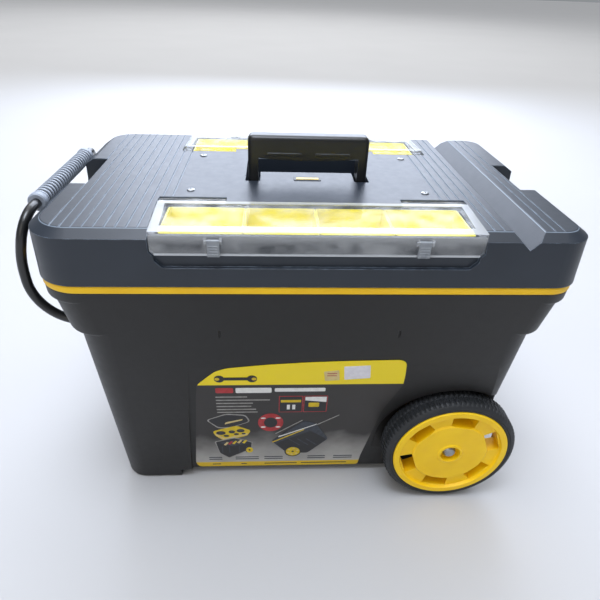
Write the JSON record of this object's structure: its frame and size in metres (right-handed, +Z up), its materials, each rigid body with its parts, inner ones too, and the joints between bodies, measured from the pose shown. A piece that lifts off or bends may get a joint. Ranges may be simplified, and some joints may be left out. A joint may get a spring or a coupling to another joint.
{
  "type": "wheeled tool chest",
  "caption": "Wheeled tool chest with a hinged lid, clear-lidded organisers, a folding carry handle, a sliding pull handle, a lift-out tray and rolling wheels.",
  "frame": {"origin": "middle of the whole object's footprint at the floor, with the lid shut and both handles as pictured", "axes": "+X along the chest's length towards the wheels, -Y out of the front, +Z up"},
  "size_m": [0.627, 0.3885, 0.473],
  "materials": {
    "tub_plastic": "fine moulded texture",
    "lid_plastic": "fine moulded texture",
    "seal_plastic": "satin",
    "tray_plastic": "fine moulded texture",
    "label_film": "printed film",
    "guide_plastic": "satin",
    "axle_steel": "zinc plated",
    "trim_steel": "zinc plated",
    "badge_metal": "satin",
    "clear_plastic": "clear moulded",
    "bin_plastic": "satin",
    "handle_plastic": "satin",
    "tube_paint": "satin black",
    "grip_plastic": "satin",
    "hub_plastic": "satin",
    "tyre_plastic": "moulded tread",
    "clip_plastic": "satin",
    "latch_plastic": "satin"
  },
  "bodies": {
    "chest": {"tub": "tub_plastic", "seal_strip": "seal_plastic", "lift_out_tray": "tray_plastic", "front_label": "label_film", "front_rod_guide": "guide_plastic", "rear_rod_guide": "guide_plastic", "axle": "axle_steel", "axle_washers": "axle_steel", "axle_caps": "axle_steel", "hinge_brackets": "tub_plastic", "hinge_pins": "trim_steel", "latch_brackets": "tub_plastic", "latch_pins": "trim_steel"},
    "lid": {"lid_shell": "lid_plastic", "lid_screws": "trim_steel", "badge_plate": "badge_metal", "front_bin": "bin_plastic", "rear_bin": "bin_plastic", "front_organiser_pins": "trim_steel", "rear_organiser_pins": "trim_steel", "carry_handle_pins": "trim_steel"},
    "front_organiser": {"front_organiser_lid": "clear_plastic"},
    "rear_organiser": {"rear_organiser_lid": "clear_plastic"},
    "front_left_clip": {"front_left_clip": "clip_plastic"},
    "front_right_clip": {"front_right_clip": "clip_plastic"},
    "rear_left_clip": {"rear_left_clip": "clip_plastic"},
    "rear_right_clip": {"rear_right_clip": "clip_plastic"},
    "carry_handle": {"carry_handle": "handle_plastic"},
    "pull_handle": {"pull_tube": "tube_paint", "pull_grip": "grip_plastic", "rod_stops": "guide_plastic"},
    "front_wheel": {"front_hub": "hub_plastic", "front_tyre": "tyre_plastic"},
    "rear_wheel": {"rear_hub": "hub_plastic", "rear_tyre": "tyre_plastic"},
    "left_latch": {"left_latch": "latch_plastic"},
    "right_latch": {"right_latch": "latch_plastic"}
  },
  "joints": [
    {"name": "lid_hinge", "type": "hinge", "parent": "chest", "child": "lid", "pos_m": [0.0115, 0.18825, 0.355], "axis": [-1, 0, 0], "range_deg": [0, 100]},
    {"name": "front_organiser_hinge", "type": "hinge", "parent": "lid", "child": "front_organiser", "pos_m": [0.0155, -0.09825, 0.4146], "axis": [-1, 0, 0], "range_deg": [0, 92]},
    {"name": "rear_organiser_hinge", "type": "hinge", "parent": "lid", "child": "rear_organiser", "pos_m": [0.0155, 0.08775, 0.4146], "axis": [1, 0, 0], "range_deg": [0, 92]},
    {"name": "front_left_clip_snap", "type": "hinge", "parent": "front_organiser", "child": "front_left_clip", "pos_m": [-0.0905, -0.19225, 0.412], "axis": [-1, 0, 0], "range_deg": [0, 35]},
    {"name": "front_right_clip_snap", "type": "hinge", "parent": "front_organiser", "child": "front_right_clip", "pos_m": [0.1205, -0.19225, 0.412], "axis": [-1, 0, 0], "range_deg": [0, 35]},
    {"name": "rear_left_clip_snap", "type": "hinge", "parent": "rear_organiser", "child": "rear_left_clip", "pos_m": [-0.0905, 0.18175, 0.412], "axis": [1, 0, 0], "range_deg": [0, 35]},
    {"name": "rear_right_clip_snap", "type": "hinge", "parent": "rear_organiser", "child": "rear_right_clip", "pos_m": [0.1205, 0.18175, 0.412], "axis": [1, 0, 0], "range_deg": [0, 35]},
    {"name": "carry_handle_fold", "type": "hinge", "parent": "lid", "child": "carry_handle", "pos_m": [0.0115, -0.02525, 0.407], "axis": [-1, 0, 0], "range_deg": [0, 90]},
    {"name": "pull_handle_slide", "type": "slide", "parent": "chest", "child": "pull_handle", "axis": [-1, 0, 0], "range_m": [0, 0.4]},
    {"name": "front_wheel_spin", "type": "hinge", "parent": "chest", "child": "front_wheel", "pos_m": [0.2105, -0.16725, 0.0904], "axis": [0, 1, 0], "continuous": true},
    {"name": "rear_wheel_spin", "type": "hinge", "parent": "chest", "child": "rear_wheel", "pos_m": [0.2105, 0.15675, 0.0904], "axis": [0, 1, 0], "continuous": true},
    {"name": "left_latch_swing", "type": "hinge", "parent": "chest", "child": "left_latch", "pos_m": [-0.2855, -0.00725, 0.341], "axis": [0, -1, 0], "range_deg": [0, 100]},
    {"name": "right_latch_swing", "type": "hinge", "parent": "chest", "child": "right_latch", "pos_m": [0.3085, -0.00725, 0.341], "axis": [0, 1, 0], "range_deg": [0, 100]}
  ]
}
